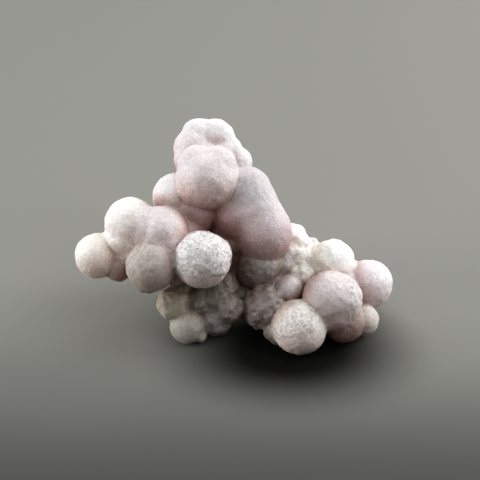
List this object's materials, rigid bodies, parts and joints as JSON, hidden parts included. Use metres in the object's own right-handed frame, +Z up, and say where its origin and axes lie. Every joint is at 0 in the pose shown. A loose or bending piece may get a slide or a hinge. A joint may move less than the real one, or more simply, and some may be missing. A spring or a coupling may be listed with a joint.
{
  "type": "botryoidal chalcedony cluster",
  "caption": "Free-standing mineral growth of fused round chalcedony balls: a tower with one arm held above the floor and one arm sloping down to it.",
  "frame": {"origin": "centre of the box around the growth, on the plane it rests on", "axes": "+X to the viewer's right, along the long way of the growth; +Y away from the viewer; +Z up"},
  "size_m": [0.0494, 0.0288, 0.0289],
  "materials": {
    "chalcedony": "satin, finely granular, slightly translucent"
  },
  "bodies": {
    "root": {"chalcedony_cluster": "chalcedony"}
  },
  "joints": []
}
